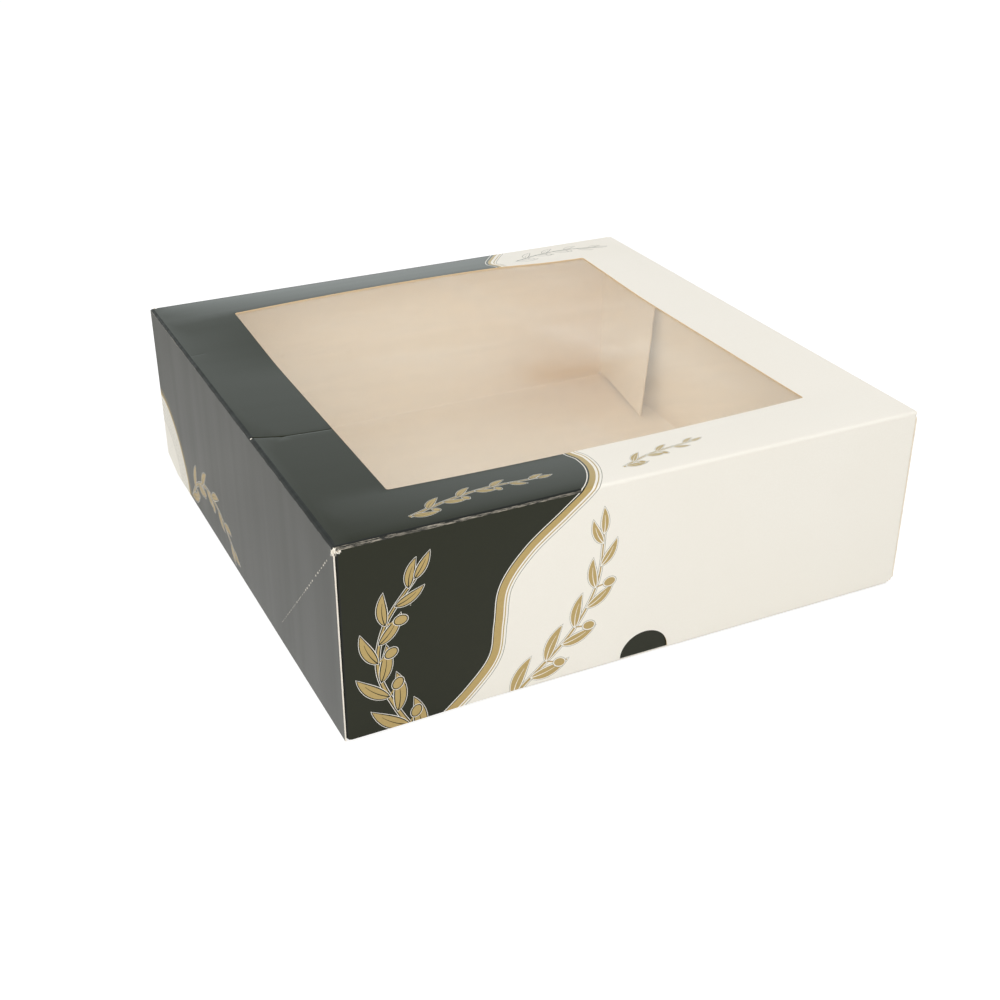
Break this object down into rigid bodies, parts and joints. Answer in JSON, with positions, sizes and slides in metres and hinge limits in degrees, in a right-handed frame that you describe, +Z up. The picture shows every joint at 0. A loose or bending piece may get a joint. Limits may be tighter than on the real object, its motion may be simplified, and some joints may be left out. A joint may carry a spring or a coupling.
{
  "type": "windowed pastry box",
  "caption": "Shallow square folding carton of printed board with glued corners and a hinged lid that has a large clear window and a thumb notch in its front flap.",
  "frame": {"origin": "under the middle of the closed box, on the surface it stands on", "axes": "+X along the front to the right as seen from the front, +Y from the front flap to the hinged back, +Z up"},
  "size_m": [0.23, 0.23, 0.0784],
  "materials": {
    "black_print": "satin",
    "white_print": "satin",
    "bare_board": "matte",
    "window_film": "gloss"
  },
  "bodies": {
    "base": {"floor_panel": "bare_board", "back_wall": "bare_board", "front_wall": "black_print", "left_wall": "black_print", "left_front_gusset": "black_print", "left_back_gusset": "black_print", "right_wall": "white_print", "right_front_gusset": "white_print", "right_back_gusset": "white_print", "front_left_tab": "bare_board", "front_right_tab": "bare_board", "back_left_tab": "bare_board", "back_right_tab": "bare_board"},
    "lid": {"lid_panel": "black_print", "lid_front_flap": "white_print", "lid_left_flap": "black_print", "lid_left_gusset": "black_print", "lid_left_tab": "black_print", "lid_right_flap": "white_print", "lid_right_gusset": "white_print", "lid_right_tab": "white_print", "window_film": "window_film"}
  },
  "joints": [
    {"name": "lid_hinge", "type": "hinge", "parent": "base", "child": "lid", "pos_m": [0, 0.11475, 0.07475], "axis": [-1, 0, 0], "range_deg": [0, 195]}
  ]
}
